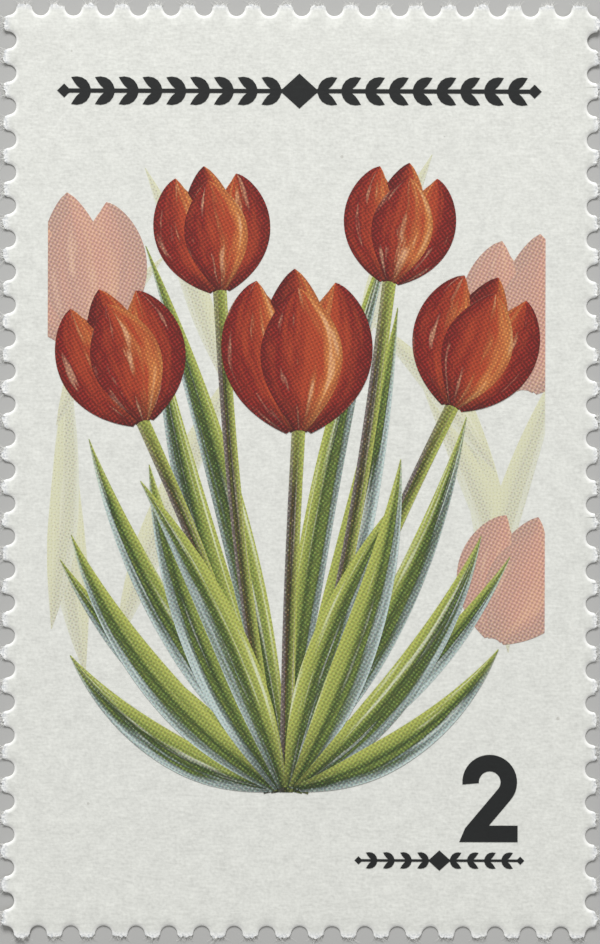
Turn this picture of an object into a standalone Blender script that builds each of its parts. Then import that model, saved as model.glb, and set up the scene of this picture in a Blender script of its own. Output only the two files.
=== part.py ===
"""A gummed postage stamp lying face up, with its origin at the centre of the back face.

The stamp is one small sheet of paper, torn from a larger sheet along rows of punched holes. It
has a film of dry gum on its back and films of printing ink on its face: a clump of tulips, a
numeral of value and two bands of leaf ornament. +X runs to the right of the picture, +Y to its
top and +Z out of the printed face. Flat outlines are worked out in millimetres.
"""

import math

import bmesh
import bpy
from mathutils.geometry import delaunay_2d_cdt

MM = 0.001

# The sheet, measured between the centre lines of the rows of holes.
SHEET_WIDTH = 26.0
SHEET_HEIGHT = 41.0
HOLE_STEPS_ACROSS = 18
HOLE_STEPS_DOWN = 28
HOLE_RADIUS = 0.39
HOLE_SIDES = 6

# The layers, from the back face up.
GUM_THICK = 0.02
PAPER_THICK = 0.10
INK_THICK = 0.02

# Where the tulips grow from, and how far the stems' feet stand apart there, as a share of how
# far their blooms do.
FOOT_X = -0.6
FOOT_Y = -14.2
FOOT_SPREAD = 0.1
STEM_WIDTH = 0.6

# How wide the feet of each row of leaves spread, and how far up the clump they start.
FAR_SPREAD = 0.5
FAR_RISE = 1.0
NEAR_SPREAD = 0.6
NEAR_RISE = 0.2

# A blade's belly, as a share of its length, its foot, as a share of its width, and how blunt its
# tip is.
LEAF_FORM = (0.38, 0.25, 0.9)
PETAL_FORM = (0.52, 0.16, 0.72)
LEAFLET_FORM = (0.45, 0.35, 0.9)
BLADE_STATIONS = 9
WELD = 1e-5

# The value numeral, on its lower left corner.
NUMERAL_X = 7.05
NUMERAL_Y = -16.38
NUMERAL_WIDTH = 2.58
NUMERAL_HEIGHT = 3.86
NUMERAL_STROKE = 0.73
NUMERAL_SLANT = 0.26
BOWL_RADIUS = 1.21
BOWL_MIDDLE = 0.52
BOWL_OPEN_END = 185.0
BOWL_NECK_END = -40.0
BOWL_SWEEPS = 24

# The bands of leaf ornament: left end, right end, height of the rule, height of the band and
# number of leaf pairs on each side.
TOP_BAND = (-10.5, 10.3, 16.8, 1.55, 9)
FOOT_BAND = (2.6, 9.75, -17.2, 0.9, 4)
LEAFLET_STATIONS = 5
LEAFLET_HEADING = 50
LEAFLET_BEND = -28

# Parts of a band, as shares of its height: the rule, the lozenges' half sizes, the bare stretch
# at each end, and its small leaves.
RULE_SHARE = 0.12
LOZENGE_HALF_WIDE = 0.55
LOZENGE_HALF_TALL = 0.5
END_LOZENGE_HALF = 0.2
BARE_END = 0.6
LEAFLET_LENGTH = 0.66
LEAFLET_WIDTH = 0.30

# Colour and roughness of each material. None is metal.
PAPER_WHITE = (0.80, 0.80, 0.77)
PAPER_ROUGH = 0.65
GUM_CREAM = (0.74, 0.72, 0.62)
GUM_ROUGH = 0.35
LEAF_GREEN = (0.12, 0.22, 0.05)
TULIP_ORANGE = (0.58, 0.10, 0.03)
COLOUR_INK_ROUGH = 0.55
INK_BLACK = (0.012, 0.012, 0.014)
BLACK_INK_ROUGH = 0.45


def clear_scene():
    for old in list(bpy.data.objects):
        bpy.data.objects.remove(old, do_unlink=True)


def make_material(name, colour, roughness):
    material = bpy.data.materials.new(name)
    material.use_nodes = True
    shader = material.node_tree.nodes["Principled BSDF"]
    shader.inputs["Base Color"].default_value = (*colour, 1.0)
    shader.inputs["Roughness"].default_value = roughness
    shader.inputs["Metallic"].default_value = 0.0
    return material


def raise_film(name, points, faces, low, high, material):
    """Turn flat faces, in millimetres, into one closed film between two heights."""
    flat = bmesh.new()
    corners = [flat.verts.new((x * MM, y * MM, low * MM)) for x, y in points]
    for face in faces:
        flat.faces.new([corners[i] for i in face])
    lifted = bmesh.ops.extrude_face_region(flat, geom=flat.faces[:])
    top = [part for part in lifted["geom"] if isinstance(part, bmesh.types.BMVert)]
    bmesh.ops.translate(flat, verts=top, vec=(0.0, 0.0, (high - low) * MM))
    bmesh.ops.recalc_face_normals(flat, faces=flat.faces[:])
    mesh = bpy.data.meshes.new(name)
    flat.to_mesh(mesh)
    flat.free()
    mesh.materials.append(material)
    film = bpy.data.objects.new(name, mesh)
    bpy.context.scene.collection.objects.link(film)
    return film


def perforated_outline():
    """The sheet's edge: half holes along each side and a quarter hole at each corner."""
    half_w, half_h = SHEET_WIDTH / 2, SHEET_HEIGHT / 2
    corners = [(-half_w, -half_h), (half_w, -half_h), (half_w, half_h), (-half_w, half_h)]
    steps = [HOLE_STEPS_ACROSS, HOLE_STEPS_DOWN, HOLE_STEPS_ACROSS, HOLE_STEPS_DOWN]
    outline = []
    for side, count in enumerate(steps):
        x0, y0 = corners[side]
        x1, y1 = corners[(side + 1) % 4]
        along = math.atan2(y1 - y0, x1 - x0)
        for hole in range(count):
            share = hole / count
            centre = (x0 + (x1 - x0) * share, y0 + (y1 - y0) * share)
            start = 90.0 if hole == 0 else 180.0
            bites = HOLE_SIDES // 2 if hole == 0 else HOLE_SIDES
            for bite in range(bites + 1):
                angle = along + math.radians(start * (1 - bite / bites))
                outline.append(
                    (
                        centre[0] + HOLE_RADIUS * math.cos(angle),
                        centre[1] + HOLE_RADIUS * math.sin(angle),
                    )
                )
    return outline


def blade_outline(base, heading, length, width, bend, form, stations=BLADE_STATIONS):
    """A leaf or petal: it sets off from base at heading, turns by bend degrees and ends in a point.

    Its half width grows from the foot's share to full at the belly, and falls to nothing at the tip.
    """
    belly, foot, tip = form
    step = length / stations
    x, y = base
    left, right = [], []
    for station in range(stations + 1):
        share = station / stations
        turn = math.radians(heading + bend * share)
        if share < belly:
            swell = foot + (1 - foot) * math.sin(share / belly * math.pi / 2)
        else:
            swell = max(math.cos((share - belly) / (1 - belly) * math.pi / 2), 0.0) ** tip
        half = width / 2 * swell
        if station == stations:
            return left + [(x, y)] + right[::-1]
        left.append((x - half * math.sin(turn), y + half * math.cos(turn)))
        right.append((x + half * math.sin(turn), y - half * math.cos(turn)))
        middle = math.radians(heading + bend * (share + 0.5 / stations))
        x += step * math.cos(middle)
        y += step * math.sin(middle)


def stem_outline(start, end, bow):
    """A stem of even width from start to end, bowed sideways in the middle."""
    run_x, run_y = end[0] - start[0], end[1] - start[1]
    span = math.hypot(run_x, run_y)
    side_x, side_y = -run_y / span, run_x / span
    left, right = [], []
    for station in range(BLADE_STATIONS + 1):
        share = station / BLADE_STATIONS
        push = bow * math.sin(share * math.pi)
        x = start[0] + run_x * share + side_x * push
        y = start[1] + run_y * share + side_y * push
        left.append((x + side_x * STEM_WIDTH / 2, y + side_y * STEM_WIDTH / 2))
        right.append((x - side_x * STEM_WIDTH / 2, y - side_y * STEM_WIDTH / 2))
    return left + right[::-1]


def tulip_petals(base, heading, tall):
    """The six petals of an upright cup: three far ones, two at the sides and one in front."""
    lean = math.radians(heading - 90)
    # Sideways shift, turn, bend, length and width, as shares of the cup's height.
    petals = [
        (-0.02, 25, -20, 0.96, 0.40),
        (0.02, -25, 20, 0.96, 0.40),
        (0.0, 2, -3, 1.02, 0.44),
        (-0.05, 37, -50, 1.0, 0.43),
        (0.05, -37, 50, 0.98, 0.43),
        (0.01, -4, 8, 0.90, 0.52),
    ]
    outlines = []
    for shift, turn, bend, length, width in petals:
        foot = (
            base[0] + shift * tall * math.cos(lean),
            base[1] + shift * tall * math.sin(lean),
        )
        outlines.append(
            blade_outline(foot, heading + turn, tall * length, tall * width, bend, PETAL_FORM)
        )
    return outlines


def tulips():
    """Each printed tulip: its name, the foot of its cup, its heading, its height and its stem's bow."""
    return [
        ("front", (-0.1, 1.8), 91, 7.0, 0.1),
        ("left", (-7.0, 2.2), 108, 6.0, -0.5),
        ("right", (6.7, 2.9), 70, 5.9, 0.5),
        ("back_left", (-3.6, 8.0), 97, 5.4, 0.4),
        ("back_right", (3.9, 8.4), 80, 5.2, -0.4),
    ]


def leaf_fan():
    """The clump's leaves: a tall far row and a shorter, broader near row, spread like a fan."""
    # Heading, length, width and bend of each leaf.
    far_row = [
        (151, 13.5, 1.3, -30),
        (133, 17.0, 1.4, -26),
        (113, 20.5, 1.5, -14),
        (99, 24.0, 1.4, 12),
        (86, 25.0, 1.3, -14),
        (72, 21.0, 1.5, 10),
        (52, 17.5, 1.4, 24),
        (30, 13.5, 1.3, 30),
    ]
    near_row = [
        (170, 11.0, 1.5, -46),
        (147, 14.6, 1.6, -36),
        (124, 15.5, 1.7, -24),
        (106, 15.0, 1.6, 18),
        (80, 14.0, 1.6, -22),
        (60, 15.4, 1.7, 24),
        (37, 14.0, 1.6, 34),
        (12, 11.0, 1.5, 46),
    ]
    outlines = []
    rows = ((FAR_SPREAD, FAR_RISE, far_row), (NEAR_SPREAD, NEAR_RISE, near_row))
    for spread, rise, row in rows:
        for heading, length, width, bend in row:
            base = (FOOT_X + spread * math.cos(math.radians(heading)), FOOT_Y + rise)
            outlines.append(blade_outline(base, heading, length, width, bend, LEAF_FORM))
    return outlines


def numeral_outline():
    """A plain figure 2: a bowl, a straight neck that leaves it squarely, and a slanted foot bar."""
    inner = BOWL_RADIUS - NUMERAL_STROKE
    centre_x = NUMERAL_X + NUMERAL_WIDTH * BOWL_MIDDLE
    centre_y = NUMERAL_Y + NUMERAL_HEIGHT - BOWL_RADIUS
    neck = math.radians(BOWL_NECK_END - 90)
    left, right = NUMERAL_X, NUMERAL_X + NUMERAL_WIDTH
    bar_top = NUMERAL_Y + NUMERAL_STROKE

    def on_bowl(size, degrees):
        angle = math.radians(degrees)
        return (centre_x + size * math.cos(angle), centre_y + size * math.sin(angle))

    outer_neck = on_bowl(BOWL_RADIUS, BOWL_NECK_END)
    inner_neck = on_bowl(inner, BOWL_NECK_END)
    outer_run = (outer_neck[1] - bar_top) / -math.sin(neck)
    heel = left + NUMERAL_SLANT
    inner_run = (inner_neck[0] - heel) / -math.cos(neck)
    outline = [(left, NUMERAL_Y), (right, NUMERAL_Y), (right, bar_top)]
    outline.append((outer_neck[0] + outer_run * math.cos(neck), bar_top))
    turn = (BOWL_OPEN_END - BOWL_NECK_END) / BOWL_SWEEPS
    outline += [on_bowl(BOWL_RADIUS, BOWL_NECK_END + turn * i) for i in range(BOWL_SWEEPS + 1)]
    outline += [on_bowl(inner, BOWL_OPEN_END - turn * i) for i in range(BOWL_SWEEPS + 1)]
    outline.append((heel, inner_neck[1] + inner_run * math.sin(neck)))
    return outline


def leaf_band(left, right, level, tall, pairs):
    """A rule with pairs of small leaves that point outwards from a lozenge at its middle."""
    rule = tall * RULE_SHARE
    half_wide = tall * LOZENGE_HALF_WIDE
    end_half = tall * END_LOZENGE_HALF
    middle = (left + right) / 2
    outlines = [
        [
            (left, level - rule / 2),
            (right, level - rule / 2),
            (right, level + rule / 2),
            (left, level + rule / 2),
        ],
        lozenge(middle, level, half_wide, tall * LOZENGE_HALF_TALL),
        lozenge(left, level, end_half, end_half),
        lozenge(right, level, end_half, end_half),
    ]
    reach = (right - left) / 2 - tall * BARE_END
    for pair in range(pairs):
        away = half_wide + reach * pair / pairs
        for side in (-1, 1):
            for up in (-1, 1):
                outlines.append(band_leaf(middle + side * away, level, side, up, tall))
    return outlines


def lozenge(x, y, half_wide, half_tall):
    return [(x - half_wide, y), (x, y - half_tall), (x + half_wide, y), (x, y + half_tall)]


def band_leaf(x, level, side, up, tall):
    """One leaf of a band: it springs from the rule, leans outwards and bends back along it."""
    heading = up * LEAFLET_HEADING if side > 0 else 180 - up * LEAFLET_HEADING
    bend = LEAFLET_BEND * side * up
    length, width = tall * LEAFLET_LENGTH, tall * LEAFLET_WIDTH
    return blade_outline((x, level), heading, length, width, bend, LEAFLET_FORM, LEAFLET_STATIONS)


def largest_body(faces):
    """The largest set of flat triangles that join edge to edge. Loose scraps are left out."""
    by_edge = {}
    for number, face in enumerate(faces):
        for a, b in zip(face, face[1:] + face[:1]):
            by_edge.setdefault(frozenset((a, b)), []).append(number)
    neighbours = {number: set() for number in range(len(faces))}
    for shared in by_edge.values():
        for number in shared:
            neighbours[number].update(shared)
    unseen = set(neighbours)
    best = []
    while unseen:
        body, waiting = [], [unseen.pop()]
        while waiting:
            number = waiting.pop()
            body.append(number)
            found = neighbours[number] & unseen
            unseen -= found
            waiting += found
        best = max(best, body, key=len)
    return [faces[number] for number in sorted(best)]


def anticlockwise(outline):
    """The same outline, listed anticlockwise as seen from above."""
    twice_area = sum(
        x0 * y1 - x1 * y0 for (x0, y0), (x1, y1) in zip(outline, outline[1:] + outline[:1])
    )
    return outline if twice_area > 0 else outline[::-1]


def ink_films(layers):
    """Lay outlines on the paper, front layer first, and raise what shows of each layer as one film."""
    points, loops, owners = [], [], []
    for rank, (_, outlines, _) in enumerate(layers):
        for outline in outlines:
            loops.append(list(range(len(points), len(points) + len(outline))))
            points += anticlockwise(outline)
            owners.append(rank)
    laid = delaunay_2d_cdt(points, [], loops, 1, WELD)
    corners, faces, sources = laid[0], laid[2], laid[5]
    shown = {rank: [] for rank in range(len(layers))}
    for face, source in zip(faces, sources):
        if source:
            shown[min(owners[loop] for loop in source)].append(list(face))
    low = GUM_THICK + PAPER_THICK
    for rank, (name, _, material) in enumerate(layers):
        body = largest_body(shown[rank])
        used = sorted({corner for face in body for corner in face})
        order = {corner: place for place, corner in enumerate(used)}
        flat = [(corners[corner][0], corners[corner][1]) for corner in used]
        body = [[order[corner] for corner in face] for face in body]
        raise_film(name, flat, body, low, low + INK_THICK, material)


def build_sheet():
    outline = perforated_outline()
    whole = [list(range(len(outline)))]
    gum = make_material("dry_gum", GUM_CREAM, GUM_ROUGH)
    paper = make_material("coated_paper", PAPER_WHITE, PAPER_ROUGH)
    raise_film("gum_film", outline, whole, 0.0, GUM_THICK, gum)
    raise_film("paper_sheet", outline, whole, GUM_THICK, GUM_THICK + PAPER_THICK, paper)


def build_print():
    green = make_material("leaf_ink", LEAF_GREEN, COLOUR_INK_ROUGH)
    orange = make_material("tulip_ink", TULIP_ORANGE, COLOUR_INK_ROUGH)
    black = make_material("black_ink", INK_BLACK, BLACK_INK_ROUGH)
    layers = [
        ("ink_tulip_" + name, tulip_petals(base, heading, tall), orange)
        for name, base, heading, tall, _ in tulips()
    ]
    stems = [
        stem_outline((FOOT_X + FOOT_SPREAD * base[0], FOOT_Y), base, bow)
        for _, base, _, _, bow in tulips()
    ]
    layers.append(("ink_leaves", leaf_fan() + stems, green))
    layers.append(("ink_numeral", [numeral_outline()], black))
    layers.append(("ink_top_band", leaf_band(*TOP_BAND), black))
    layers.append(("ink_foot_band", leaf_band(*FOOT_BAND), black))
    ink_films(layers)


clear_scene()
build_sheet()
build_print()
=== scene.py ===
"""A gummed postage stamp lying face up on a pale table, seen from straight above.

Flat shapes are worked out in millimetres and brought to metres once a piece is finished.
"""

import itertools
import math
import random

import bpy
import numpy as np
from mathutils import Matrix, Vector, noise


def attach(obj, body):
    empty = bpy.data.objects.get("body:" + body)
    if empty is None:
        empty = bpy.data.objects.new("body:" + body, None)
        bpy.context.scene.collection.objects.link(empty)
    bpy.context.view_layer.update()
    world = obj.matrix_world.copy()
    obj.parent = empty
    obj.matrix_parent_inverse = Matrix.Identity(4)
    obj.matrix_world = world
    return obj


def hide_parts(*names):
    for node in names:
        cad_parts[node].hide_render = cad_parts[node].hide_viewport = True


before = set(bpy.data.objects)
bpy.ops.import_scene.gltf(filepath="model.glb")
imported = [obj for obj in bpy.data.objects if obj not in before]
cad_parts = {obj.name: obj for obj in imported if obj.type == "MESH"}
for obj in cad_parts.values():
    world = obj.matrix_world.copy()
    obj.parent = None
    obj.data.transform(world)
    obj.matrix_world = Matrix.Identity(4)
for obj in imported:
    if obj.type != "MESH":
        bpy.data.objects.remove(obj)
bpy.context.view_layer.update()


# The sheet of paper.
# Coated white paper about a tenth of a millimetre thick. Rows of pins punch the holes, and the
# sheet is then torn away from its neighbours, so each tooth ends in a ragged, thinned edge.

MM = 0.001
SHEET_WIDTH = 26.0
SHEET_HEIGHT = 41.0
HOLE_STEPS_ACROSS = 18
HOLE_STEPS_DOWN = 28
HOLE_RADIUS = 0.39
STEP_ACROSS = SHEET_WIDTH / HOLE_STEPS_ACROSS
STEP_DOWN = SHEET_HEIGHT / HOLE_STEPS_DOWN
GUM_THICK = 0.02
PAPER_TOP = 0.12
CELLS_PER_MM = 2
EDGE_CUTS = 9
EDGE_NEAR = 0.002
SMOOTH_BELOW = math.radians(30)


def deselect():
    bpy.ops.object.select_all(action="DESELECT")


def pick(*pieces):
    """Select these pieces alone, the first one active."""
    deselect()
    for piece in pieces:
        piece.select_set(True)
    bpy.context.view_layer.objects.active = pieces[0]


def apply_modifiers(piece):
    pick(piece)
    for modifier in list(piece.modifiers):
        bpy.ops.object.modifier_apply(modifier=modifier.name)


def places(piece):
    """The piece's points, one row each."""
    points = np.empty(len(piece.data.vertices) * 3)
    piece.data.vertices.foreach_get("co", points)
    return points.reshape(-1, 3)


def place(piece, points):
    piece.data.vertices.foreach_set("co", np.asarray(points).ravel())
    piece.data.update()


def finish_piece(piece, name, material):
    """Bring a piece from millimetres to metres, apply its place, and give it its one material."""
    pick(piece)
    piece.name = name
    piece.data.name = name
    piece.scale = (MM, MM, MM)
    bpy.ops.object.transform_apply(location=True, rotation=True, scale=True)
    piece.data.materials.clear()
    piece.data.materials.append(material)


deselect()
bpy.ops.mesh.primitive_grid_add(
    x_subdivisions=int(SHEET_WIDTH * CELLS_PER_MM),
    y_subdivisions=int(SHEET_HEIGHT * CELLS_PER_MM),
    size=1.0,
)
sheet = bpy.context.object
sheet.scale = (SHEET_WIDTH, SHEET_HEIGHT, 1.0)
bpy.ops.object.transform_apply(scale=True)

# Only the border is cut finer, where the teeth are torn.
bpy.ops.object.mode_set(mode="EDIT")
bpy.ops.mesh.select_mode(type="EDGE")
bpy.ops.mesh.select_all(action="DESELECT")
bpy.ops.object.mode_set(mode="OBJECT")
for edge in sheet.data.edges:
    ends = [sheet.data.vertices[i].co for i in edge.vertices]
    along_side = all(abs(end.x) > SHEET_WIDTH / 2 - EDGE_NEAR for end in ends)
    along_end = all(abs(end.y) > SHEET_HEIGHT / 2 - EDGE_NEAR for end in ends)
    edge.select = along_side or along_end
bpy.ops.object.mode_set(mode="EDIT")
bpy.ops.mesh.subdivide(number_cuts=EDGE_CUTS)
bpy.ops.object.mode_set(mode="OBJECT")

solidify = sheet.modifiers.new("thickness", "SOLIDIFY")
solidify.thickness = PAPER_TOP - GUM_THICK
solidify.offset = 1.0
apply_modifiers(sheet)
lifted = places(sheet)
lifted[:, 2] += GUM_THICK - lifted[:, 2].min()
place(sheet, lifted)

# One pin is repeated along each row of holes by two arrays. It flares where it meets the face,
# so the rim of each hole is rolled. The flare gives the pin's radius at rising heights.
PIN_SIDES = 28
PIN_LENGTH = 0.5
FACES_UP = 0.9
FLARE = [(0.04, 0.38), (0.065, 0.405), (0.088, 0.44), (0.106, 0.488), (0.12, 0.54), (0.2, 0.70)]
CORNER_HOLE = (-SHEET_WIDTH / 2, -SHEET_HEIGHT / 2)
NEXT_HOLE = (-SHEET_WIDTH / 2, STEP_DOWN - SHEET_HEIGHT / 2)
pin_rows = []
for start, across, down in (
    (CORNER_HOLE, (HOLE_STEPS_ACROSS + 1, STEP_ACROSS), (2, SHEET_HEIGHT)),
    (NEXT_HOLE, (2, SHEET_WIDTH), (HOLE_STEPS_DOWN - 1, STEP_DOWN)),
):
    deselect()
    bpy.ops.mesh.primitive_cylinder_add(
        vertices=PIN_SIDES,
        radius=FLARE[0][1],
        depth=PIN_LENGTH,
        location=(*start, FLARE[0][0] - PIN_LENGTH / 2),
    )
    row = bpy.context.object
    bpy.ops.object.transform_apply(location=True)
    bpy.ops.object.mode_set(mode="EDIT")
    bpy.ops.mesh.select_mode(type="FACE")
    bpy.ops.mesh.select_all(action="DESELECT")
    bpy.ops.object.mode_set(mode="OBJECT")
    for face in row.data.polygons:
        face.select = face.normal.z > FACES_UP
    bpy.ops.object.mode_set(mode="EDIT")
    for (low, narrow), (high, wide) in zip(FLARE, FLARE[1:]):
        bpy.ops.mesh.extrude_region_move(TRANSFORM_OT_translate={"value": (0, 0, high - low)})
        grow = wide / narrow
        bpy.ops.transform.resize(value=(grow, grow, 1.0), center_override=(*start, high))
    bpy.ops.object.mode_set(mode="OBJECT")
    for axis, (count, step) in enumerate((across, down)):
        repeat = row.modifiers.new("repeat", "ARRAY")
        repeat.count = count
        repeat.use_relative_offset = False
        repeat.use_constant_offset = True
        offset = [0.0, 0.0, 0.0]
        offset[axis] = step
        repeat.constant_offset_displace = offset
    apply_modifiers(row)
    pin_rows.append(row)
pick(*pin_rows)
bpy.ops.object.join()
pins = bpy.context.object

# The pins are worn, so no hole is a perfect round.
PIN_WEAR = 0.012
WEAR_PITCH = 2.6
WEAR_LAYERS = (0.0, 4.5)
worn = places(pins)
for point in worn:
    x, y = point[0] * WEAR_PITCH, point[1] * WEAR_PITCH
    for axis, layer in enumerate(WEAR_LAYERS):
        point[axis] += PIN_WEAR * noise.noise(Vector((x, y, layer)))
place(pins, worn)

punch = sheet.modifiers.new("punch", "BOOLEAN")
punch.operation = "DIFFERENCE"
punch.solver = "EXACT"
punch.object = pins
apply_modifiers(sheet)
bpy.data.objects.remove(pins, do_unlink=True)

# Each side tore its own way: how far its teeth reach past the line of the holes. The roughness,
# the finer waves and the fraying each have a depth, a pitch and a layer of the noise.
TEARS = {(0, -1.0): 0.20, (0, 1.0): 0.13, (1, -1.0): 0.14, (1, 1.0): 0.12}
TEAR_ROUGH = (0.12, 2.3, 0.0)
TEAR_FINE = (0.09, 6.5, 3.0)
TEAR_FRAY = (0.05, 17.0, 5.0)
SIDE_APART = 7.0
AXIS_APART = 31.0
CROWN_BLUNT = 0.6
TEAR_THIN = 0.05
THIN_PITCH = 5.0
THIN_LAYER = 9.0
THIN_EVEN = 0.7


def tear_reach(axis, side, along):
    """How far the paper reaches past the line of the holes: furthest at the middle of a tooth."""
    step = STEP_DOWN if axis == 0 else STEP_ACROSS
    half_tooth = step / 2 - HOLE_RADIUS
    off_middle = (along / step) % 1.0 - 0.5
    crown = max(1.0 - (off_middle * step / half_tooth) ** 2, 0.0) ** CROWN_BLUNT
    key = SIDE_APART * side + AXIS_APART * axis
    rough, fine, fray = (
        depth * noise.noise(Vector((along * pitch, key, layer)))
        for depth, pitch, layer in (TEAR_ROUGH, TEAR_FINE, TEAR_FRAY)
    )
    return crown * (TEARS[axis, side] + rough + fine) + fray


torn = places(sheet)
for point in torn:
    for axis, half in ((0, SHEET_WIDTH / 2), (1, SHEET_HEIGHT / 2)):
        if abs(point[axis]) < half - EDGE_NEAR:
            continue
        side = math.copysign(1.0, point[axis])
        along = point[1 - axis]
        point[axis] += side * tear_reach(axis, side, along)
        if point[2] > PAPER_TOP - EDGE_NEAR:
            ragged = noise.noise(Vector((along * THIN_PITCH, side, THIN_LAYER)))
            point[2] -= TEAR_THIN * (THIN_EVEN + ragged)
place(sheet, torn)

# The gum film is cut from the same blank, so its edge follows the paper's.
pick(sheet)
bpy.ops.object.duplicate()
gum = bpy.context.object

# The corners stand a little off the table. Everything that is printed lies flat.
CORNER_LIFT = 0.20
LIFT_EVEN = 0.7
LIFT_FROM_X = 10.6
LIFT_FROM_Y = 15.5


def corner_lift(x, y):
    """How far the sheet stands off the table at these points."""
    across = np.clip((np.abs(x) - LIFT_FROM_X) / (SHEET_WIDTH / 2 - LIFT_FROM_X), 0, 1)
    down = np.clip((np.abs(y) - LIFT_FROM_Y) / (SHEET_HEIGHT / 2 - LIFT_FROM_Y), 0, 1)
    uneven = LIFT_EVEN + (1 - LIFT_EVEN) * np.sign(x) * np.sign(y)
    return CORNER_LIFT * uneven * across**2 * down**2


curled = places(sheet)
curled[:, 2] += corner_lift(curled[:, 0], curled[:, 1])
place(sheet, curled)


MM_IN_METRE = 1000.0
RELIEF_DEPTH = 0.00002


def linear(red, green, blue):
    """A colour read in 0 to 255 steps, as the shaders want it."""
    shares = [part / 255.0 for part in (red, green, blue)]
    return tuple(s / 12.92 if s <= 0.04045 else ((s + 0.055) / 1.055) ** 2.4 for s in shares)


def add(tree, kind, values=None, **settings):
    """Add a node, set it up, and connect or fill in its inputs."""
    made = tree.nodes.new(kind)
    for setting, value in settings.items():
        setattr(made, setting, value)
    for key, value in (values or {}).items():
        if isinstance(value, bpy.types.NodeSocket):
            tree.links.new(value, made.inputs[key])
        else:
            made.inputs[key].default_value = value
    return made


def calc(tree, operation, *terms, clamp=False):
    made = add(tree, "ShaderNodeMath", dict(enumerate(terms)), operation=operation, use_clamp=clamp)
    return made.outputs[0]


def colour_mix(tree, share, under, over, way="MIX"):
    """Lay one colour over another by a share from 0 to 1."""
    made = add(tree, "ShaderNodeMix", data_type="RGBA", blend_type=way, clamp_factor=True)
    for number, value in ((0, share), (6, under), (7, over)):
        if isinstance(value, bpy.types.NodeSocket):
            tree.links.new(value, made.inputs[number])
        else:
            made.inputs[number].default_value = value if number == 0 else (*value, 1.0)
    return made.outputs[2]


def weigh(tree, constant, *terms):
    """A clamped sum of masks, each with its weight."""
    total = constant
    for number, (socket, weight) in enumerate(terms):
        total = calc(tree, "MULTIPLY_ADD", socket, weight, total, clamp=number == len(terms) - 1)
    return total


def ramp(tree, value, low, high, way="SMOOTHSTEP"):
    """A mask that goes from 0 where the value is low to 1 where it is high."""
    ends = {"Value": value, "From Min": low, "From Max": high}
    return add(tree, "ShaderNodeMapRange", ends, interpolation_type=way).outputs[0]


def on_object(tree, scale):
    """Places on the object, with the metre cut into this many parts."""
    metres = add(tree, "ShaderNodeTexCoord").outputs["Object"]
    scaled = add(tree, "ShaderNodeVectorMath", {0: metres, "Scale": scale}, operation="SCALE")
    return scaled.outputs[0]


def emboss(tree, shader, height, strength):
    """Give the shader a fine relief."""
    values = {"Height": height, "Strength": strength, "Distance": RELIEF_DEPTH}
    tree.links.new(add(tree, "ShaderNodeBump", values).outputs[0], shader.inputs["Normal"])


def new_group(name, inputs, outputs):
    """An empty shader node group with named sockets, and its two end nodes."""
    tree = bpy.data.node_groups.new(name, "ShaderNodeTree")
    for way, sockets in (("INPUT", inputs), ("OUTPUT", outputs)):
        for label, kind, value in sockets:
            socket = tree.interface.new_socket(name=label, in_out=way, socket_type=kind)
            if value is not None:
                socket.default_value = value
    return tree, tree.nodes.new("NodeGroupInput"), tree.nodes.new("NodeGroupOutput")


def place_group(tree, group, values=None):
    made = tree.nodes.new("ShaderNodeGroup")
    made.node_tree = group
    for key, value in (values or {}).items():
        if isinstance(value, bpy.types.NodeSocket):
            tree.links.new(value, made.inputs[key])
        else:
            made.inputs[key].default_value = value
    return made


def new_material(name, roughness):
    """A material with a bare Principled shader, its tree and the shader."""
    material = bpy.data.materials.new(name)
    material.use_nodes = True
    shader = material.node_tree.nodes["Principled BSDF"]
    shader.inputs["Roughness"].default_value = roughness
    return material, material.node_tree, shader


PAPER_WHITE = linear(225, 226, 220)
SPECK_BROWN = linear(120, 112, 98)
SPECK_SIZE = 0.035
SPECK_SHARE = 0.28
CLOUD_DEPTH = 0.36
FIBRE_DEPTH = 0.6
WEFT_DEPTH = 0.34
MOTTLE_DEPTH = 0.62

# The paper shows on the sheet and between the dots of ink, so its grain is shared: soft clouds,
# matted fibres, a weft drawn out across the sheet, and a few brown specks.
FLOAT, COLOUR = "NodeSocketFloat", "NodeSocketColor"
grain, grain_in, grain_out = new_group(
    "paper_grain",
    [("Paper", COLOUR, (*PAPER_WHITE, 1.0)), ("Mottle", FLOAT, 1.0), ("Specks", FLOAT, 1.0)],
    [("Colour", COLOUR, None), ("Height", FLOAT, None)],
)
in_mm = on_object(grain, MM_IN_METRE)
clouds = add(grain, "ShaderNodeTexNoise", {"Vector": in_mm, "Scale": 1.6, "Detail": 5.0})
fibres = add(grain, "ShaderNodeTexNoise", {"Vector": in_mm, "Scale": 7.0, "Detail": 5.0})
drawn = add(grain, "ShaderNodeMapping", {"Vector": in_mm, "Scale": (2.2, 9.0, 1.0)})
weft = add(grain, "ShaderNodeTexNoise", {"Vector": drawn.outputs[0], "Scale": 1.0, "Detail": 2.0})
flecks = add(grain, "ShaderNodeTexVoronoi", {"Vector": in_mm, "Scale": 0.42})
speck = calc(grain, "LESS_THAN", flecks.outputs["Distance"], SPECK_SIZE)
uneven = calc(grain, "MULTIPLY_ADD", clouds.outputs[0], CLOUD_DEPTH, -CLOUD_DEPTH / 2)
for layer, depth in ((fibres, FIBRE_DEPTH), (weft, WEFT_DEPTH)):
    centred = calc(grain, "SUBTRACT", layer.outputs[0], 0.5)
    uneven = calc(grain, "MULTIPLY_ADD", centred, depth, uneven)
weighed = calc(grain, "MULTIPLY", uneven, grain_in.outputs["Mottle"])
bright = calc(grain, "MULTIPLY_ADD", weighed, MOTTLE_DEPTH, 1.0)
tone = add(grain, "ShaderNodeCombineColor", {0: bright, 1: bright, 2: bright}).outputs[0]
mottled = colour_mix(grain, 1.0, grain_in.outputs["Paper"], tone, "MULTIPLY")
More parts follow.
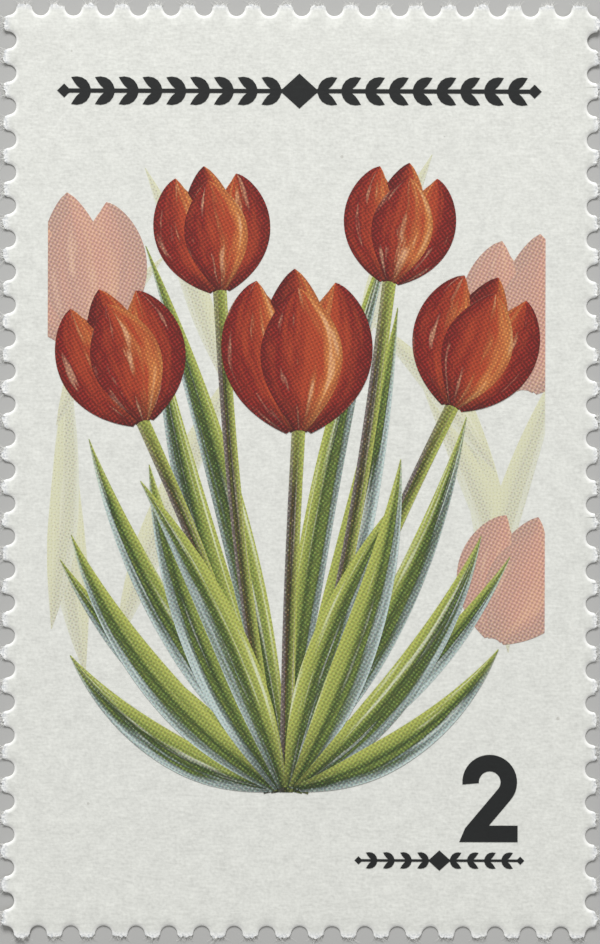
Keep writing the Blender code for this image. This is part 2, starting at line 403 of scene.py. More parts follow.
speck_share = calc(grain, "MULTIPLY", speck, SPECK_SHARE)
speck_share = calc(grain, "MULTIPLY", speck_share, grain_in.outputs["Specks"])
specked = colour_mix(grain, speck_share, mottled, SPECK_BROWN)
grain.links.new(specked, grain_out.inputs["Colour"])
weft_height = calc(grain, "MULTIPLY", weft.outputs[0], 0.4)
height = calc(grain, "MULTIPLY_ADD", fibres.outputs[0], 0.6, weft_height)
grain.links.new(height, grain_out.inputs["Height"])

PAPER_ROUGH = 0.55
RIM_ROUGHER = 0.3
coated_paper, tree, shader = new_material("coated_paper", PAPER_ROUGH)
paper = place_group(tree, grain)
sheet_mm = on_object(tree, MM_IN_METRE)
across, down, _ = add(tree, "ShaderNodeSeparateXYZ", {0: sheet_mm}).outputs


def from_hole(across, down, half, step):
    """Distance to the nearest punched hole of the rows that lie half off the middle."""
    out = calc(tree, "SUBTRACT", calc(tree, "ABSOLUTE", across), half)
    nearest = calc(tree, "MULTIPLY", calc(tree, "ROUND", calc(tree, "DIVIDE", down, step)), step)
    along = calc(tree, "SUBTRACT", down, nearest)
    square = calc(tree, "MULTIPLY_ADD", along, along, calc(tree, "MULTIPLY", out, out))
    return calc(tree, "SQRT", square)


side_rows = from_hole(across, down, SHEET_WIDTH / 2, STEP_DOWN)
end_rows = from_hole(down, across, SHEET_HEIGHT / 2, STEP_ACROSS)
to_hole = calc(tree, "MINIMUM", side_rows, end_rows)

# Punching rolls the rim of each hole down. The rim is painted whiter all round the hole: a painted
# highlight for light that catches the rolled edge.
RIM = 0.16
RIM_HIGHLIGHT_WHITE = linear(250, 250, 247)
RIM_HIGHLIGHT_SHARE = 0.85
rim = ramp(tree, to_hole, HOLE_RADIUS + RIM, HOLE_RADIUS)
rim_highlight_share = calc(tree, "MULTIPLY", rim, RIM_HIGHLIGHT_SHARE)
rim_highlight_colour = colour_mix(tree, rim_highlight_share, paper.outputs["Colour"], RIM_HIGHLIGHT_WHITE)

# Past the line of the holes the coating tore away, which leaves bare matted fibres.
TORN_FROM = -0.2
TORN_FULL = 0.12
TORN_RELIEF = 1.2
FIBRE_GREY = linear(208, 211, 214)
FIBRE_WHITE = linear(252, 252, 250)
past_side = calc(tree, "SUBTRACT", calc(tree, "ABSOLUTE", across), SHEET_WIDTH / 2)
past_end = calc(tree, "SUBTRACT", calc(tree, "ABSOLUTE", down), SHEET_HEIGHT / 2)
torn_share = ramp(tree, calc(tree, "MAXIMUM", past_side, past_end), TORN_FROM, TORN_FULL)
matted = add(tree, "ShaderNodeTexNoise", {"Vector": sheet_mm, "Scale": 11.0, "Detail": 3.0})
matted = matted.outputs[0]
fibre_colour = colour_mix(tree, ramp(tree, matted, 0.4, 0.6, "LINEAR"), FIBRE_GREY, FIBRE_WHITE)
torn_colour = colour_mix(tree, torn_share, rim_highlight_colour, fibre_colour)
tree.links.new(torn_colour, shader.inputs["Base Color"])
torn_height = calc(tree, "MULTIPLY", torn_share, matted)
relief = calc(tree, "MULTIPLY_ADD", torn_height, TORN_RELIEF, paper.outputs["Height"])
emboss(tree, shader, relief, 0.7)
rough = calc(tree, "MULTIPLY_ADD", rim, RIM_ROUGHER, PAPER_ROUGH)
tree.links.new(rough, shader.inputs["Roughness"])

finish_piece(sheet, "paper_blank", coated_paper)
bpy.ops.object.shade_smooth_by_angle(angle=SMOOTH_BELOW)
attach(sheet, "root")
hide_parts("paper_sheet")


# The gum film.
# A thin coat of gum dried on the back of the paper. It is cream, with a soft gloss, and has the
# fine ripple that the coating roller leaves.

spread = places(gum)
spread[:, 2] = (spread[:, 2] - GUM_THICK) / (PAPER_TOP - GUM_THICK) * GUM_THICK
spread[:, 2] += corner_lift(spread[:, 0], spread[:, 1])
place(gum, spread)

GUM_CREAM = linear(224, 220, 202)
GUM_ROUGH = 0.2
GUM_ROUGHER = 0.25
RIPPLE = (900.0, 3200.0, 1.0)
dry_gum, tree, shader = new_material("dry_gum", GUM_ROUGH)
gum_paper = place_group(tree, grain, {"Paper": (*GUM_CREAM, 1.0), "Mottle": 0.8, "Specks": 0.3})
tree.links.new(gum_paper.outputs["Colour"], shader.inputs["Base Color"])
gum_at = add(tree, "ShaderNodeTexCoord").outputs["Object"]
rolled = add(tree, "ShaderNodeMapping", {"Vector": gum_at, "Scale": RIPPLE})
ripple = add(tree, "ShaderNodeTexNoise", {"Vector": rolled.outputs[0], "Scale": 1.0, "Detail": 3.0})
emboss(tree, shader, ripple.outputs[0], 0.4)
gloss = calc(tree, "MULTIPLY_ADD", ripple.outputs[0], GUM_ROUGHER, GUM_ROUGH)
tree.links.new(gloss, shader.inputs["Roughness"])
shader.inputs["Coat Weight"].default_value = 0.35
shader.inputs["Coat Roughness"].default_value = 0.25

finish_piece(gum, "gum_coat", dry_gum)
bpy.ops.object.shade_smooth_by_angle(angle=SMOOTH_BELOW)
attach(gum, "root")
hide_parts("gum_film")


# The pale plants behind.
# The first things printed: leaves and blooms in thin tints that run off the picture at both
# sides. Like all the picture, they are screened into fine dots of four inks.

BLADE_STATIONS = 30
BLADE_CELLS = 6
INK_FOOT = 0.003
INK_STEP = 0.0004
TIP_HALF = 0.02
SEED_APART = 0.37
ink_order = itertools.count()


def centre_line(base, heading, length, bend):
    """Points along a blade that sets off at heading and turns by bend degrees on its way."""
    points = [np.array(base, float)]
    for station in range(BLADE_STATIONS):
        turn = math.radians(heading + bend * (station + 0.5) / BLADE_STATIONS)
        step = length / BLADE_STATIONS * np.array([math.cos(turn), math.sin(turn)])
        points.append(points[-1] + step)
    return np.array(points)


def blade_halves(width, belly, foot, tip):
    """Half the width at each station: it swells from the foot to the belly and ends in a point."""
    share = np.linspace(0, 1, BLADE_STATIONS + 1)
    low = foot + (1 - foot) * np.sin(np.clip(share / belly, 0, 1) * math.pi / 2)
    high = np.cos(np.clip((share - belly) / (1 - belly), 0, 1) * math.pi / 2) ** tip
    return np.maximum(width / 2 * np.where(share < belly, low, high), TIP_HALF)


def print_blade(line, halves, light, flip, deep, seed, pale=0.0):
    """Print one leaf, petal or stem: a strip along a line, with its own tone in two attributes."""
    deselect()
    bpy.ops.mesh.primitive_grid_add(x_subdivisions=BLADE_STATIONS, y_subdivisions=BLADE_CELLS, size=1.0)
    blade = bpy.context.object
    flat = places(blade)
    station = np.rint((flat[:, 0] + 0.5) * BLADE_STATIONS).astype(int)
    run = np.gradient(line, axis=0)
    run /= np.linalg.norm(run, axis=1)[:, None]
    side = np.stack([-run[:, 1], run[:, 0]], axis=1)
    push = (flat[:, 1] * 2 * halves[station])[:, None]
    flat[:, :2] = line[station] + side[station] * push
    flat[:, 2] = PAPER_TOP + INK_FOOT + INK_STEP * next(ink_order)
    place(blade, flat)
    for name, value in (("tone", (light, deep, pale)), ("draw", (flip, seed * SEED_APART, 0.0))):
        mark = blade.data.attributes.new(name, "FLOAT_VECTOR", "POINT")
        mark.data.foreach_set("vector", np.tile(value, len(flat)))
    return blade


LEAF_BELLY = 0.38
LEAF_TIP = 0.9
UPRIGHT = 90


def print_leaf(base, heading, length, width, bend, seed, light, pale=0.0, foot=0.25):
    """Print a leaf, lit on the side that faces the top left."""
    line = centre_line(base, heading, length, bend)
    halves = blade_halves(width, LEAF_BELLY, foot, LEAF_TIP)
    flip = 1.0 if heading > UPRIGHT else -1.0
    return print_blade(line, halves, light, flip, 0.0, seed, pale)


# Shift, turn, bend, length, width, light, flip and shade of each petal: three far, two at the
# sides and one in front.
PETALS = [
    (-0.02, 25, -20, 0.96, 0.40, 0.30, 1, 0.55),
    (0.02, -25, 20, 0.96, 0.40, 0.25, -1, 0.55),
    (0.0, 2, -3, 1.02, 0.44, 0.35, 1, 0.42),
    (-0.05, 37, -50, 1.0, 0.43, 0.62, 1, 0.0),
    (0.05, -37, 50, 0.98, 0.43, 0.45, -1, 0.12),
    (0.01, -4, 8, 0.90, 0.52, 0.72, 1, 0.0),
]
PETAL_BELLY = 0.52
PETAL_FOOT = 0.16
PETAL_TIP = 0.72
PETAL_SEEDS = 11


def print_bloom(base, heading, tall, seed, pale=0.0):
    """Print an upright cup of six petals, the far ones first."""
    lean = math.radians(heading - UPRIGHT)
    petals = []
    for number, (shift, turn, bend, length, width, light, flip, deep) in enumerate(PETALS):
        foot = (
            base[0] + shift * tall * math.cos(lean),
            base[1] + shift * tall * math.sin(lean),
        )
        line = centre_line(foot, heading + turn, tall * length, bend)
        halves = blade_halves(tall * width, PETAL_BELLY, PETAL_FOOT, PETAL_TIP)
        own_seed = seed + PETAL_SEEDS * number
        petals.append(print_blade(line, halves, light, flip, deep, own_seed, pale))
    return petals


def join_print(blades, name, material):
    """Make the blades one film of ink, closed underneath."""
    pick(*blades)
    bpy.ops.object.join()
    film = bpy.context.object
    close = film.modifiers.new("film", "SOLIDIFY")
    close.thickness = INK_FOOT
    close.offset = -1.0
    apply_modifiers(film)
    finish_piece(film, name, material)
    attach(film, "root")
    return film


# The screen: each ink's share of a tone sets how wide its dots are. Black takes over the part of
# a tone that is grey, from a certain depth on.
DOT_SPACING = 0.155
DOT_SPREAD = 0.62
DOT_SOFT = 0.26
BLACK_FROM = 0.42
BLACK_RISE = 1.4
screen, screen_in, screen_out = new_group(
    "dot_screen",
    [
        ("Tone", COLOUR, None),
        ("Paper", COLOUR, None),
        ("Spacing", FLOAT, DOT_SPACING),
        ("Spread", FLOAT, DOT_SPREAD),
    ],
    [("Colour", COLOUR, None), ("Ink", FLOAT, None)],
)
in_dots = on_object(screen, calc(screen, "DIVIDE", MM_IN_METRE, screen_in.outputs["Spacing"]))

# Where the wave of a screen is cut for a given share of ink, so that the dots cover that share.
DOT_LEVELS = ((0.12, 0.78), (0.35, 0.575), (0.5, 0.5), (0.65, 0.425), (0.88, 0.22))


def dot_mask(share, degrees):
    """A mask that is 1 inside the dots of a screen turned by degrees."""
    turn = (0, 0, math.radians(degrees))
    turned = add(screen, "ShaderNodeMapping", {"Vector": in_dots, "Rotation": turn})
    parts = add(screen, "ShaderNodeSeparateXYZ", {0: turned.outputs[0]})
    waves = []
    for part in parts.outputs[:2]:
        waves.append(calc(screen, "COSINE", calc(screen, "MULTIPLY", part, math.tau)))
    hill = calc(screen, "MULTIPLY_ADD", calc(screen, "ADD", *waves), 0.25, 0.5)
    level = add(screen, "ShaderNodeFloatCurve", {"Value": share})
    curve = level.mapping.curves[0]
    curve.points[0].location = (0.0, 1.0)
    curve.points[1].location = (1.0, 0.0)
    for at_share, at_level in DOT_LEVELS:
        curve.points.new(at_share, at_level)
    level.mapping.update()
    cut = calc(screen, "MULTIPLY_ADD", level.outputs[0], 1 + 2 * DOT_SOFT, -DOT_SOFT)
    low = calc(screen, "SUBTRACT", cut, DOT_SOFT)
    high = calc(screen, "ADD", cut, DOT_SOFT)
    return ramp(screen, hill, low, high)


wanted = add(screen, "ShaderNodeSeparateColor", {0: screen_in.outputs["Tone"]})
bare = add(screen, "ShaderNodeSeparateColor", {0: screen_in.outputs["Paper"]})
ink_shares = []
for channel in range(3):
    ratio = calc(screen, "DIVIDE", wanted.outputs[channel], bare.outputs[channel], clamp=True)
    ink_shares.append(calc(screen, "SUBTRACT", 1.0, ratio, clamp=True))
grey = calc(screen, "MINIMUM", calc(screen, "MINIMUM", ink_shares[0], ink_shares[1]), ink_shares[2])
black_share = weigh(screen, -BLACK_FROM * BLACK_RISE, (grey, BLACK_RISE))
left_over = calc(screen, "SUBTRACT", 1.0, black_share)
screened = screen_in.outputs["Paper"]
# The channel that each ink takes up, its screen's angle and its colour: cyan, magenta, yellow.
INKS = [
    (0, 62, linear(20, 222, 240)),
    (1, 28, linear(240, 40, 200)),
    (2, 0, linear(254, 244, 40)),
]
BLACK_ANGLE = 45
SCREEN_BLACK = linear(40, 42, 42)
for channel, degrees, ink in INKS:
    over_black = calc(screen, "SUBTRACT", ink_shares[channel], black_share)
    mask = dot_mask(calc(screen, "DIVIDE", over_black, left_over, clamp=True), degrees)
    screened = colour_mix(screen, mask, screened, ink, "MULTIPLY")
black_dots = dot_mask(black_share, BLACK_ANGLE)
screened = colour_mix(screen, black_dots, screened, SCREEN_BLACK, "MULTIPLY")

# The inks bleed into each other, so the hue is nearly even and the dots show as lighter and
# darker. Ink also spreads into the paper round each dot, which evens the tone out.
HUE_BLEED = 0.8
dot_light = add(screen, "ShaderNodeRGBToBW", {0: screened}).outputs[0]
tone_light = add(screen, "ShaderNodeRGBToBW", {0: screen_in.outputs["Tone"]}).outputs[0]
shaded = add(
    screen,
    "ShaderNodeVectorMath",
    {0: screen_in.outputs["Tone"], "Scale": calc(screen, "DIVIDE", dot_light, tone_light)},
    operation="SCALE",
).outputs[0]
bled = colour_mix(screen, HUE_BLEED, screened, shaded)
even = colour_mix(screen, screen_in.outputs["Spread"], bled, screen_in.outputs["Tone"])
screen.links.new(even, screen_out.inputs["Colour"])
screen.links.new(grey, screen_out.inputs["Ink"])

# The drawing of a blade: streaks that run along it, and its place across and along.
STREAK_LENGTH = 2.4
STREAK_LAYER = 3.0
STROKE_MASKS = ("Along", "Across", "Lit Side", "Streak", "Light", "Deep", "Pale")
strokes, strokes_in, strokes_out = new_group(
    "blade_strokes",
    [("Fine", FLOAT, 3.6)],
    [(label, FLOAT, None) for label in STROKE_MASKS],
)
on_blade = add(strokes, "ShaderNodeUVMap", uv_map="UVMap").outputs[0]
uv = add(strokes, "ShaderNodeSeparateXYZ", {0: on_blade})
tone_mark = add(strokes, "ShaderNodeAttribute", attribute_name="tone")
draw_mark = add(strokes, "ShaderNodeAttribute", attribute_name="draw")
tones = add(strokes, "ShaderNodeSeparateXYZ", {0: tone_mark.outputs["Vector"]})
draws = add(strokes, "ShaderNodeSeparateXYZ", {0: draw_mark.outputs["Vector"]})
across = calc(strokes, "MULTIPLY_ADD", uv.outputs[1], 2.0, -1.0)
streak_at = add(
    strokes,
    "ShaderNodeCombineXYZ",
    {
        0: calc(strokes, "MULTIPLY", uv.outputs[0], STREAK_LENGTH),
        1: calc(strokes, "MULTIPLY", across, strokes_in.outputs["Fine"]),
        2: calc(strokes, "MULTIPLY", draws.outputs[1], STREAK_LAYER),
    },
).outputs[0]
streaky = add(strokes, "ShaderNodeTexNoise", {"Vector": streak_at, "Scale": 0.95, "Detail": 3.0})
streak = ramp(strokes, streaky.outputs[0], 0.3, 0.7, "LINEAR")
lit_side = calc(strokes, "MULTIPLY", across, draws.outputs[0])
masks = (uv.outputs[0], across, lit_side, streak, *tones.outputs)
for label, socket in zip(STROKE_MASKS, masks, strict=True):
    strokes.links.new(socket, strokes_out.inputs[label])


COLOUR_INK_ROUGH = 0.55
INK_GLOSS = 0.15
PALE_WARMED = 0.5


def screen_tone(tree, shader, tone, pale, warm, thinned):
    """Warm and thin a tone where the blade is pale, screen it, and give it to the shader."""
    faded = colour_mix(tree, calc(tree, "MULTIPLY", pale, PALE_WARMED), tone, warm)
    faded = colour_mix(tree, calc(tree, "MULTIPLY", pale, thinned), faded, PAPER_WHITE)
    ground = place_group(tree, grain, {"Specks": 0.2})
    dots = place_group(tree, screen, {"Tone": faded, "Paper": ground.outputs["Colour"]})
    tree.links.new(dots.outputs["Colour"], shader.inputs["Base Color"])
    emboss(tree, shader, ground.outputs["Height"], 0.3)
    glossier = calc(tree, "MULTIPLY_ADD", dots.outputs["Ink"], -INK_GLOSS, COLOUR_INK_ROUGH)
    tree.links.new(glossier, shader.inputs["Roughness"])


LEAF_DARK = linear(30, 50, 32)
LEAF_MID = linear(112, 130, 62)
LEAF_LIGHT = linear(176, 184, 92)
LEAF_PALE = linear(228, 232, 216)
LEAF_SHEEN = linear(190, 206, 202)
LEAF_FOOT = linear(30, 46, 28)
LEAF_PALE_WARM = linear(224, 214, 128)
STEM_BROWN = linear(92, 50, 40)
RIB_OFF_MIDDLE = 0.05
RIB_SHARE = 0.6
leaf_ink, tree, shader = new_material("leaf_ink", COLOUR_INK_ROUGH)
blade = place_group(tree, strokes, {"Fine": 3.6}).outputs
lit, streak, light = blade["Lit Side"], blade["Streak"], blade["Light"]
shadow = weigh(tree, -0.3, (lit, 1.35), (streak, 1.35), (light, -0.5))
tone = colour_mix(tree, shadow, LEAF_MID, LEAF_DARK)
glow = weigh(tree, -0.66, (lit, -1.3), (streak, 0.5), (light, 0.6))
tone = colour_mix(tree, glow, tone, LEAF_LIGHT)
pale_streak = weigh(tree, -1.3, (streak, 1.9))
tone = colour_mix(tree, pale_streak, tone, LEAF_PALE)
sheen = weigh(tree, -1.05, (lit, 1.5), (streak, 1.0))
tone = colour_mix(tree, sheen, tone, LEAF_SHEEN)
bark = calc(tree, "MULTIPLY", blade["Deep"], weigh(tree, 0.1, (lit, 0.5), (streak, 0.8)))
tone = colour_mix(tree, bark, tone, STEM_BROWN)
rib_away = calc(tree, "ABSOLUTE", calc(tree, "SUBTRACT", blade["Across"], RIB_OFF_MIDDLE))
rib = calc(tree, "MULTIPLY", weigh(tree, 1.0, (rib_away, -4.5)), RIB_SHARE)
tone = colour_mix(tree, rib, tone, LEAF_DARK)
foot_shade = weigh(tree, 0.7, (blade["Along"], -3.2))
tone = colour_mix(tree, foot_shade, tone, LEAF_FOOT)
tip_glow = weigh(tree, -2.05, (blade["Along"], 2.5))
tone = colour_mix(tree, tip_glow, tone, LEAF_LIGHT)
screen_tone(tree, shader, tone, blade["Pale"], LEAF_PALE_WARM, 0.58)

ORANGE = linear(177, 69, 35)
RED = linear(130, 32, 25)
DEEP = linear(58, 24, 26)
AMBER = linear(212, 140, 74)
BLUSH = linear(228, 186, 152)
TULIP_PALE_WARM = linear(220, 146, 104)
FOLD_SHARE = 0.8
tulip_ink, tree, shader = new_material("tulip_ink", COLOUR_INK_ROUGH)
blade = place_group(tree, strokes, {"Fine": 3.4}).outputs
lit, streak, light, deep = blade["Lit Side"], blade["Streak"], blade["Light"], blade["Deep"]
flush = weigh(tree, -0.1, (lit, 0.8), (streak, 1.1), (deep, 0.5))
tone = colour_mix(tree, flush, ORANGE, RED)
glow = weigh(tree, -1.1, (lit, -0.8), (streak, 1.2), (light, 0.5))
tone = colour_mix(tree, glow, tone, AMBER)
pale_streak = weigh(tree, -1.65, (streak, 1.7), (light, 0.6))
tone = colour_mix(tree, pale_streak, tone, BLUSH)
foot_shade = weigh(tree, 0.68, (blade["Along"], -2.6))
tone = colour_mix(tree, foot_shade, tone, DEEP)
fold = weigh(tree, -0.95, (calc(tree, "ABSOLUTE", blade["Across"]), 1.25))
tone = colour_mix(tree, calc(tree, "MULTIPLY", fold, FOLD_SHARE), tone, DEEP)
inside = weigh(tree, -0.16, (deep, 0.85), (lit, 0.3))
tone = colour_mix(tree, inside, tone, DEEP)
screen_tone(tree, shader, tone, blade["Pale"], TULIP_PALE_WARM, 0.3)

PICTURE_LEFT = -11.2
PICTURE_RIGHT = 10.8
PALE_LEAF_LIGHT = 0.9
PALE_LEAF_FOOT = 0.02
PALE_LEAF_SEEDS = 300

# Where each pale leaf starts, its heading, length, width and bend. The row below gives where each
# pale bloom starts, its heading, height and seed.
PALE_LEAVES = [
    (-9.5, -9, 100, 13, 1.5, -12),
    (-11, -7, 82, 12, 1.3, 10),
    (-8.2, -8, 74, 15, 1.4, -16),
    (-10.8, 2, 70, 9, 1.1, -25),
    (9.2, -8, 95, 14, 1.6, 14),
    (10.4, -7, 110, 12, 1.4, 10),
    (7.8, -7, 78, 13, 1.3, -12),
    (8.6, 0, 120, 9, 1.1, 20),
    (-3.5, 4, 104, 10, 1.1, 12),
    (2.5, 5, 76, 9.6, 1.1, -12),
]
PALE_BLOOMS = [
    ((-9.6, 5.6), 96, 6.6, 500),
    ((9.9, 3.6), 84, 6.8, 540),
    ((8.6, -7.4), 70, 5.6, 580),
]


def trim_to_picture(blades):
    """Cut blades off where the picture ends at either side."""
    for number, blade in enumerate(blades):
        for edge, outwards in ((PICTURE_LEFT, -1), (PICTURE_RIGHT, 1)):
            pick(blade)
            bpy.ops.object.mode_set(mode="EDIT")
            bpy.ops.mesh.select_all(action="SELECT")
            bpy.ops.mesh.bisect(plane_co=(edge, 0, 0), plane_no=(outwards, 0, 0), clear_outer=True)
            bpy.ops.object.mode_set(mode="OBJECT")
    return [blade for blade in blades if blade.data.polygons]


pale_leaves = []
for seed, (x, y, heading, length, width, bend) in enumerate(PALE_LEAVES, PALE_LEAF_SEEDS):
    leaf = print_leaf(
        (x, y), heading, length, width, bend, seed, PALE_LEAF_LIGHT, 1.0, PALE_LEAF_FOOT
    )
    pale_leaves.append(leaf)
pale_blooms = [
    petal
    for base, heading, tall, seed in PALE_BLOOMS
    for petal in print_bloom(base, heading, tall, seed, 1.0)
]
film = join_print(trim_to_picture(pale_leaves), "pale_leaves", leaf_ink)
film = join_print(trim_to_picture(pale_blooms), "pale_blooms", tulip_ink)


# The tulips and their leaves.
# The main picture, in full tones: a tall far row of leaves, two blooms on stems, three nearer
# ones over them, and a shorter near row of leaves that hides the stems' feet.

FOOT_X = -0.6
FOOT_Y = -14.2
FOOT_SPREAD = 0.1
FAR_SPREAD = 0.5
FAR_RISE = 1.0
FAR_LIGHT = 0.35
FAR_SEEDS = 40
NEAR_SPREAD = 0.6
NEAR_RISE = 0.2
NEAR_SEEDS = 80

# Heading, length, width and bend of each leaf, and how light the near ones are.
FAR_LEAVES = [
    (151, 13.5, 1.3, -30),
    (133, 17.0, 1.4, -26),
    (113, 20.5, 1.5, -14),
    (99, 24.0, 1.4, 12),
    (86, 25.0, 1.3, -14),
    (72, 21.0, 1.5, 10),
    (52, 17.5, 1.4, 24),
    (30, 13.5, 1.3, 30),
]
NEAR_LEAVES = [
    (170, 11.0, 1.5, -46, 0.5),
    (147, 14.6, 1.6, -36, 0.7),
    (124, 15.5, 1.7, -24, 0.55),
    (106, 15.0, 1.6, 18, 0.85),
    (80, 14.0, 1.6, -22, 0.65),
    (60, 15.4, 1.7, 24, 0.75),
    (37, 14.0, 1.6, 34, 0.5),
    (12, 11.0, 1.5, 46, 0.45),
]

# Where each bloom starts, its heading and height, its stem's bow and its seed.
BACK_TULIPS = [
    ("back_left", (-3.6, 8.0), 97, 5.4, 0.4, 0),
    ("back_right", (3.9, 8.4), 80, 5.2, -0.4, 60),
]
FRONT_TULIPS = [
    ("left", (-7.0, 2.2), 108, 6.0, -0.5, 120),
    ("right", (6.7, 2.9), 70, 5.9, 0.5, 180),
    ("front", (-0.1, 1.8), 91, 7.0, 0.1, 240),
]
STEM_HALF = 0.3
STEM_LIGHT = 0.3
STEM_BROWNED = 0.75


def print_stem(top, bow, seed):
    """Print a stem of even width from the clump's foot to a bloom, bowed in the middle."""
    start = np.array([FOOT_X + FOOT_SPREAD * top[0], FOOT_Y])
    run = np.array(top) - start
    side = np.array([-run[1], run[0]]) / np.linalg.norm(run)
    share = np.linspace(0, 1, BLADE_STATIONS + 1)[:, None]
    line = start + run * share + side * bow * np.sin(share * math.pi)
    halves = np.full(BLADE_STATIONS + 1, STEM_HALF)
    return print_blade(line, halves, STEM_LIGHT, 1.0, STEM_BROWNED, seed)


green = []
for seed, (heading, length, width, bend) in enumerate(FAR_LEAVES, FAR_SEEDS):
    base = (FOOT_X + FAR_SPREAD * math.cos(math.radians(heading)), FOOT_Y + FAR_RISE)
    green.append(print_leaf(base, heading, length, width, bend, seed, FAR_LIGHT))
blooms = {}
for row in (BACK_TULIPS, FRONT_TULIPS):
    green += [print_stem(base, bow, seed) for _, base, _, _, bow, seed in row]
    for name, base, heading, tall, _, seed in row:
        blooms[name] = print_bloom(base, heading, tall, seed)
for seed, (heading, length, width, bend, light) in enumerate(NEAR_LEAVES, NEAR_SEEDS):
    base = (FOOT_X + NEAR_SPREAD * math.cos(math.radians(heading)), FOOT_Y + NEAR_RISE)
    green.append(print_leaf(base, heading, length, width, bend, seed, light))
film = join_print(green, "tulip_leaves", leaf_ink)
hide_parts("ink_leaves")
for name, petals in blooms.items():
    film = join_print(petals, "tulip_" + name, tulip_ink)
    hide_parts("ink_tulip_" + name)


# The black print.
# The numeral of value and the two bands of leaf ornament, in solid black ink. Their shapes in
# the model are right, so they stay and only get the ink's finish.

BLACK_INK = linear(18, 21, 21)
black_ink, tree, shader = new_material("black_ink", 0.5)
ink_grain = place_group(tree, grain, {"Paper": (*BLACK_INK, 1.0), "Mottle": 2.2, "Specks": 0.0})
tree.links.new(ink_grain.outputs["Colour"], shader.inputs["Base Color"])
emboss(tree, shader, ink_grain.outputs["Height"], 0.3)
for node in ("ink_numeral", "ink_top_band", "ink_foot_band"):
    for material_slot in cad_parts[node].material_slots:
        material_slot.material = black_ink


# The torn fibres.
# Loose paper fibres that stand out of each torn tooth. Each is a thin tapered hair, sunk into
# the edge at its root.

FIBRE_HALF = 0.006
FIBRES_A_TOOTH = 34
FIBRE_POINTS = 4
FIBRE_SPREAD = 0.31
FIBRE_REACH = (0.06, 0.2)
FIBRE_LEAN = 0.9
FIBRE_CURL = 0.6
FIBRE_DRAWN = 1.4
FIBRE_SUNK = 0.04
FIBRE_LOW = 0.05
FIBRE_DROP = 0.02
FIBRE_TAPER = 0.75
FIBRE_COLOUR = linear(240, 240, 236)
LONG_TEAR = 1.5
draw = random.Random(13)
hairs = bpy.data.curves.new("torn_fibres", "CURVE")
hairs.dimensions = "3D"
hairs.bevel_depth = FIBRE_HALF
hairs.bevel_resolution = 0
hairs.resolution_u = 2
hairs.use_fill_caps = True


def tooth_middles():
    """The middle of each tooth, and the way that it points."""
    for number in range(HOLE_STEPS_ACROSS):
        x = -SHEET_WIDTH / 2 + STEP_ACROSS * (number + 0.5)
        for side in (-1, 1):
            yield x, side * SHEET_HEIGHT / 2, (0, side)
    for number in range(HOLE_STEPS_DOWN):
        y = -SHEET_HEIGHT / 2 + STEP_DOWN * (number + 0.5)
        for side in (-1, 1):
            yield side * SHEET_WIDTH / 2, y, (side, 0)


for x, y, (out_x, out_y) in tooth_middles():
    for _ in range(FIBRES_A_TOOTH):
        shift = draw.uniform(-FIBRE_SPREAD, FIBRE_SPREAD)
        reach = draw.uniform(*FIBRE_REACH) * (LONG_TEAR if out_x < 0 else 1.0)
        lean = draw.uniform(-FIBRE_LEAN, FIBRE_LEAN)
        curl = draw.uniform(-FIBRE_CURL, FIBRE_CURL)
        axis, side = (0, out_x) if out_x else (1, out_y)
        edge = tear_reach(axis, float(side), (y if out_x else x) + shift) - FIBRE_SUNK
        root_x = x + abs(out_y) * shift + out_x * edge
        root_y = y + abs(out_x) * shift + out_y * edge
        low = FIBRE_LOW + draw.uniform(0, FIBRE_LOW) + float(corner_lift(np.array(x), np.array(y)))
        strand = hairs.splines.new("POLY")
        strand.points.add(FIBRE_POINTS - 1)
        for step, point in enumerate(strand.points):
            share = step / (FIBRE_POINTS - 1)
            sway = lean * share + curl * share * share
            point_x = root_x + (out_x + out_y * sway) * reach * share * FIBRE_DRAWN
            point_y = root_y + (out_y + out_x * sway) * reach * share * FIBRE_DRAWN
            point.co = (point_x, point_y, low - FIBRE_DROP * share, 1.0)
            point.radius = 1.0 - FIBRE_TAPER * share
strands = bpy.data.objects.new("torn_fibres", hairs)
bpy.context.scene.collection.objects.link(strands)
pick(strands)
bpy.ops.object.convert(target="MESH")
strands = bpy.context.object

fibre, tree, shader = new_material("paper_fibre", 0.8)
raw = place_group(tree, grain, {"Paper": (*FIBRE_COLOUR, 1.0), "Mottle": 1.4, "Specks": 0.0})
tree.links.new(raw.outputs["Colour"], shader.inputs["Base Color"])
finish_piece(strands, "torn_fibres", fibre)
bpy.ops.object.shade_smooth()
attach(strands, "root")


# The table, the light and the camera.
# A plain pale table, a soft light from beyond the top of the sheet with a weak one opposite, and a
# long lens that looks straight down on the middle of the sheet.

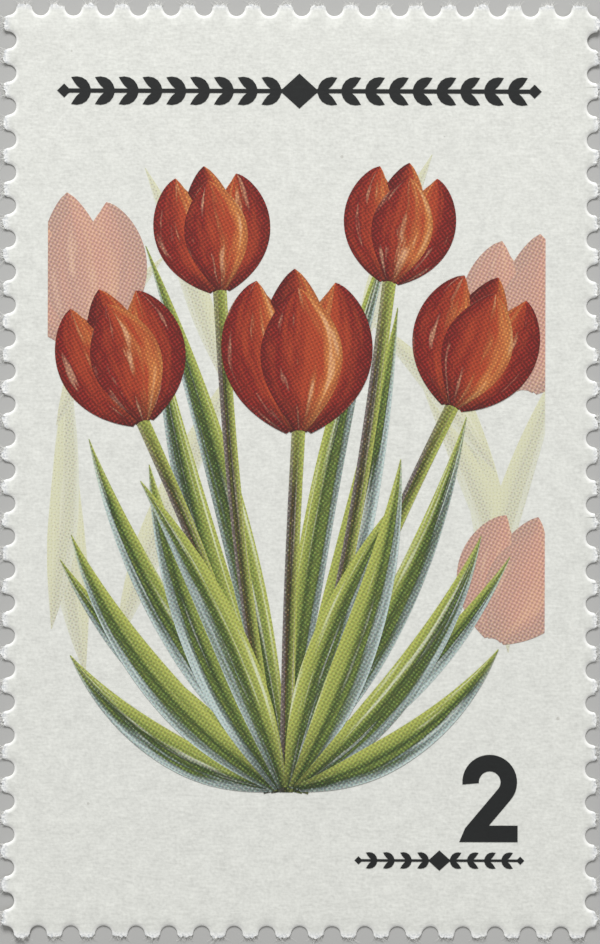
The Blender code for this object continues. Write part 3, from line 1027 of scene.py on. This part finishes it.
TABLE_SIZE = 1.0
TABLE_TOP = -0.00001
TABLE_DARKER = linear(178, 178, 176)
TABLE_LIGHTER = linear(184, 184, 182)
deselect()
bpy.ops.mesh.primitive_plane_add(size=TABLE_SIZE, location=(0, 0, TABLE_TOP))
table = bpy.context.object
table.name = "table"
bpy.ops.object.transform_apply(location=True)
table_top, tree, shader = new_material("pale_table", 0.7)
on_table = add(tree, "ShaderNodeTexCoord").outputs["Object"]
cloud = add(tree, "ShaderNodeTexNoise", {"Vector": on_table, "Scale": 60.0})
tone = colour_mix(tree, cloud.outputs[0], TABLE_DARKER, TABLE_LIGHTER)
tree.links.new(tone, shader.inputs["Base Color"])
table.data.materials.append(table_top)


def softbox(name, place_at, size, power):
    """A square soft light that faces the middle of the sheet."""
    lamp = bpy.data.lights.new(name, "AREA")
    lamp.shape = "SQUARE"
    lamp.size = size
    lamp.energy = power
    box = bpy.data.objects.new(name, lamp)
    box.location = place_at
    box.rotation_euler = (-Vector(place_at)).to_track_quat("-Z", "Y").to_euler()
    bpy.context.scene.collection.objects.link(box)


softbox("key", (-0.04, 0.36, 0.28), 0.16, 2.0)
softbox("fill", (0.10, -0.30, 0.34), 0.30, 0.22)
SKY_COLOUR = (1.0, 1.0, 0.99, 1.0)
SKY_STRENGTH = 0.34
sky = bpy.data.worlds.new("studio")
sky.use_nodes = True
background = sky.node_tree.nodes["Background"]
background.inputs["Color"].default_value = SKY_COLOUR
background.inputs["Strength"].default_value = SKY_STRENGTH
bpy.context.scene.world = sky
bpy.context.scene.view_settings.view_transform = "Standard"

LENS = 120.0
VIEW_TALL = 0.04177
VIEW_X = -0.00003
VIEW_Y = -0.00004
VIEW_ROLL = 0.15
SENSOR = 36.0
lens = bpy.data.cameras.new("camera")
lens.lens = LENS
lens.sensor_width = SENSOR
lens.clip_start = 0.001
camera = bpy.data.objects.new("camera", lens)
camera.location = (VIEW_X, VIEW_Y, VIEW_TALL * LENS / SENSOR)
camera.rotation_euler = (0.0, 0.0, math.radians(VIEW_ROLL))
bpy.context.scene.collection.objects.link(camera)
bpy.context.scene.camera = camera
